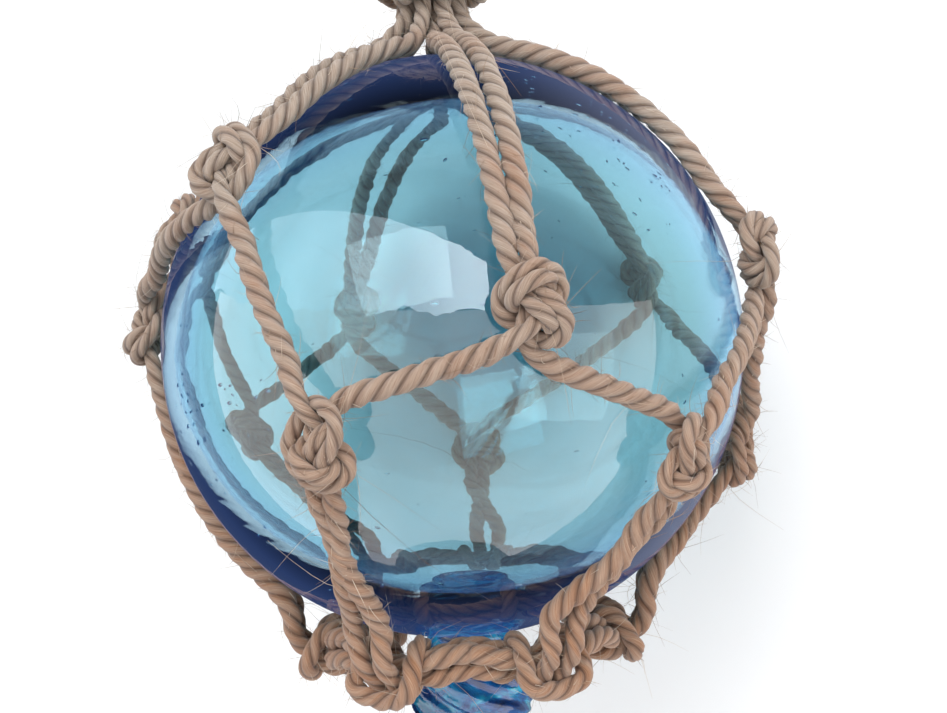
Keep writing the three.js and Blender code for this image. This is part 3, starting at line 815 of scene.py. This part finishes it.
def loose_jute():
    """Single fibres, from brown to pale straw."""
    m = Finish("jute_fibre")
    tint = m.ramp(m.attribute("shade"), [(0, "6f5138"), (0.5, "9c8065"), (1, "d6c8b6")])
    return m.finish(m.node("ShaderNodeBsdfPrincipled", Base_Color=tint, Roughness=0.6))


def blue_glass():
    """Clear pale aqua glass, which turns navy where light runs a long way round inside the wall. A weak
    navy glow at grazing angles stands for the light that comes round the wall."""
    m = Finish("blue_glass")
    wave = m.noise(m.stretched(m.where(), (1, 3.2, 1)), 60, 2)["Fac"]
    bump = m.node("ShaderNodeBump", Strength=0.04, Distance=0.001, Height=wave)
    edge = m.node("ShaderNodeLayerWeight", Blend=0.5).outputs["Facing"]
    shader = m.node(
        "ShaderNodeBsdfPrincipled", Base_Color=(0.58, 0.88, 0.925, 1), Roughness=0.0, IOR=1.5,
        Normal=bump.outputs[0], Transmission_Weight=1.0, Emission_Color=(0.014, 0.035, 0.12, 1),
        Emission_Strength=m.ranged(edge, 0.45, 0.75))
    body = m.node("ShaderNodeVolumeAbsorption", Color=(0.14, 0.2, 0.4, 1), Density=50)
    return m.finish(shader, Volume=body.outputs[0])


def streaked_glass():
    """The seal's glass: turquoise and deep blue drawn out in streaks."""
    m = Finish("seal_glass")
    where = m.where()
    warp = m.noise(where, 45, 2)["Color"]
    swirl = m.node("ShaderNodeMix", {"data_type": "VECTOR"}, i0=0.035, i4=where, i5=warp).outputs[1]
    streak = m.noise(m.stretched(swirl, (1, 4.5, 1.6), (0.3, 0.2, 0.5)), 95, 3)["Fac"]
    tint = m.ramp(streak, [(0.32, "06224a"), (0.44, "14509a"), (0.53, "1a86c4"), (0.62, "2cc0e4"),
                           (0.75, "9ae6ee")])
    bump = m.node("ShaderNodeBump", Strength=0.35, Distance=0.0012, Height=streak)
    return m.finish(m.node(
        "ShaderNodeBsdfPrincipled", Base_Color=tint, Roughness=0.06, IOR=1.5, Normal=bump.outputs[0],
        Transmission_Weight=0.6))


def pale_floor():
    """A matt, nearly white floor."""
    m = Finish("pale_floor")
    return m.finish(m.node("ShaderNodeBsdfPrincipled", Base_Color=(0.93, 0.93, 0.935, 1), Roughness=0.9))


# ---------------------------------------------------------------- making the float


def dress(piece, finish, node=None):
    """Gives a piece its finish and slot, and the solid it takes the place of."""
    piece.data.materials.append(finish)
    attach(piece, "root")
    if node:
        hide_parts(node)


rng = np.random.default_rng(21)
jute_finish = jute()
paths = [finished_path(rows) for rows in net_paths()]
for number, path in enumerate(paths, 1):
    dress(cord_object(f"jute_cord_{number}", path, rng), jute_finish, f"net_cord_{number}")
turns = ring_path()
dress(cord_object("jute_ring", turns, rng, closed=True), jute_finish, "base_ring")
wound = lashing_path()
dress(cord_object("jute_lashing", wound, rng), jute_finish, "top_lashing")
dress(stray_fibres(paths + [turns, wound], rng), loose_jute())
dress(glass_ball(), blue_glass(), "glass_float")
dress(glass_seal(), streaked_glass())

# ---------------------------------------------------------------- floor, light and camera


def plain_floor():
    """A flat square floor, which throws no reflection on the glass."""
    half, height = 6.0, -0.0002
    corners = np.array([[-half, -half, height], [half, -half, height], [half, half, height],
                        [-half, half, height]])
    floor = add_mesh("floor", corners, np.array([[0, 1, 2, 3]]))
    floor.data.materials.append(pale_floor())
    floor.visible_glossy = False


plain_floor()

TO_CAMERA = LIE @ np.array([0, 0, 1.0])
ROLL = math.radians(3.5)
PICTURE_UP = LIE @ np.array([math.sin(ROLL), math.cos(ROLL), 0])
PICTURE_RIGHT = np.cross(PICTURE_UP, TO_CAMERA)


def look(thing, place, target, up=(0, 0, 1)):
    """Sets an object at a place, with its -Z towards the target and its Y near up."""
    back = unit(np.asarray(place) - np.asarray(target))
    right = unit(np.cross(np.asarray(up, float), back))
    turn = np.column_stack([right, np.cross(back, right), back])
    matrix = np.eye(4)
    matrix[:3, :3] = turn
    matrix[:3, 3] = place
    thing.matrix_world = Matrix(matrix.tolist())


def soft_light(name, place, power):
    """A square area light at a place from the ball's middle, not seen in reflections."""
    light = bpy.data.lights.new(name, "AREA")
    light.shape = "RECTANGLE"
    light.size, light.size_y = 0.9, 0.9
    light.energy = power
    made = bpy.data.objects.new(name, light)
    bpy.context.scene.collection.objects.link(made)
    look(made, CENTRE + np.asarray(place), CENTRE)
    made.visible_glossy = False


def seen_from(right, up, near):
    """A place from the ball's middle in metres right, up and near in the camera's own directions."""
    return right * PICTURE_RIGHT + up * PICTURE_UP + near * TO_CAMERA


soft_light("key", seen_from(-0.5, 0.8, 1.1), 16)
soft_light("fill", seen_from(0.9, -0.3, 1.0), 8)


def glowing_card(name, azimuth, low, high, away, tint, power, bright=None):
    """A curved card round the ball, seen only in reflections. At each azimuth round the picture's upward
    direction it reaches from one height to another, all in degrees; power gets its finish and gives the
    glow's strength there."""
    rows = 12
    columns = len(azimuth)
    t = np.linspace(0, 1, rows)[None, :]
    e = np.radians(low[:, None] * (1 - t) + high[:, None] * t)
    a = np.broadcast_to(np.radians(azimuth)[:, None], e.shape)
    local = np.stack([np.cos(e) * np.sin(a), np.sin(e), np.cos(e) * np.cos(a)], -1).reshape(-1, 3)
    corners = CENTRE + away * (local @ np.stack([PICTURE_RIGHT, PICTURE_UP, TO_CAMERA]))
    i, j = np.meshgrid(np.arange(columns - 1), np.arange(rows - 1), indexing="ij")
    quads = np.stack([i * rows + j, (i + 1) * rows + j, (i + 1) * rows + j + 1, i * rows + j + 1], -1)
    fields = None if bright is None else {"bright": np.repeat(bright, rows)}
    made = add_mesh(name, corners, quads.reshape(-1, 4), fields=fields)
    m = Finish(name)
    made.data.materials.append(m.finish(m.node("ShaderNodeEmission", Color=(*tint, 1), Strength=power(m))))
    for kind in ("camera", "diffuse", "transmission", "volume_scatter", "shadow"):
        setattr(made, f"visible_{kind}", False)


def sky_card():
    """The sky between a bumpy line of trees and the straight edge of a roof, brightest at its right."""
    azimuth = np.linspace(-104, 13, 120)
    a = np.radians(azimuth)
    low = (12 + 1.4 * np.sin(a * 9.3 + 2 * np.sin(a * 4.1))
           + 0.9 * np.abs(np.sin(a * 17 + 3 * np.sin(a * 5)))
           + 0.4 * np.sin(a * 61 + 2 * np.sin(a * 13)))
    high = np.degrees(np.arctan((-0.366 * np.sin(a) + 0.408 * np.cos(a)) / 0.5185)) - 1.5
    share = np.linspace(0, 1, len(a))
    bright = 0.55 * smooth(share * 1.15 - 0.1) + smooth((share - 0.68) / 0.3)

    def power(m):
        cloud = m.noise(m.where(), 1.6, 4)["Fac"]
        return m.math("MULTIPLY_ADD", m.attribute("bright"), 6.5, m.math("MULTIPLY_ADD", cloud, 4.0, 1.0))

    glowing_card("sky_card", azimuth, low, high, 1.5, (0.82, 0.92, 1.0), power, bright)


def ground_card():
    """A dimmer card below the line of trees."""
    azimuth = np.linspace(-100, 80, 40)
    low, high = np.full(len(azimuth), -75.0), np.full(len(azimuth), 13.0)

    def power(m):
        return m.math("MULTIPLY_ADD", m.noise(m.where(), 1.1, 3)["Fac"], 3.6, 1.6)

    glowing_card("ground_card", azimuth, low, high, 1.6, (1.0, 0.93, 0.9), power)


sky_card()
ground_card()


def studio_air():
    """Pale light from above the floor, dark from below it except low on the picture's right."""
    world = bpy.data.worlds.new("studio")
    bpy.context.scene.world = world
    world.use_nodes = True
    tree = world.node_tree
    tree.nodes.clear()
    way = tree.nodes.new("ShaderNodeTexCoord").outputs["Generated"]

    def along(vector, low, high, start, end):
        """From start to end as the direction's share along a vector goes from low to high."""
        dot = tree.nodes.new("ShaderNodeVectorMath")
        dot.operation = "DOT_PRODUCT"
        tree.links.new(way, dot.inputs[0])
        dot.inputs[1].default_value = tuple(vector)
        ranged = tree.nodes.new("ShaderNodeMapRange")
        tree.links.new(dot.outputs["Value"], ranged.inputs["Value"])
        for key, value in zip(("From Min", "From Max", "To Min", "To Max"), (low, high, start, end)):
            ranged.inputs[key].default_value = value
        return ranged.outputs[0]

    above = along((0, 0, 1), -0.05, 0.25, 0, 1)
    right = along(PICTURE_RIGHT, 0.1, 0.75, 0.04, 0.75)
    mix = tree.nodes.new("ShaderNodeMix")
    tree.links.new(above, mix.inputs[0])
    tree.links.new(right, mix.inputs[2])
    mix.inputs[3].default_value = 0.72
    background = tree.nodes.new("ShaderNodeBackground")
    background.inputs["Color"].default_value = (0.97, 0.985, 1, 1)
    tree.links.new(mix.outputs[0], background.inputs["Strength"])
    out = tree.nodes.new("ShaderNodeOutputWorld")
    tree.links.new(background.outputs[0], out.inputs["Surface"])


studio_air()

CAMERA_AWAY = 5 * BALL_R * MM
AIM = seen_from(0.00448, -0.00229, 0)
lens = bpy.data.cameras.new("camera")
lens.sensor_width = 36
lens.lens = 54.4
lens.clip_start = 0.01
camera = bpy.data.objects.new("camera", lens)
bpy.context.scene.collection.objects.link(camera)
look(camera, CENTRE + CAMERA_AWAY * TO_CAMERA, CENTRE + AIM, PICTURE_UP)
bpy.context.scene.camera = camera
bpy.context.scene.view_settings.view_transform = "Standard"
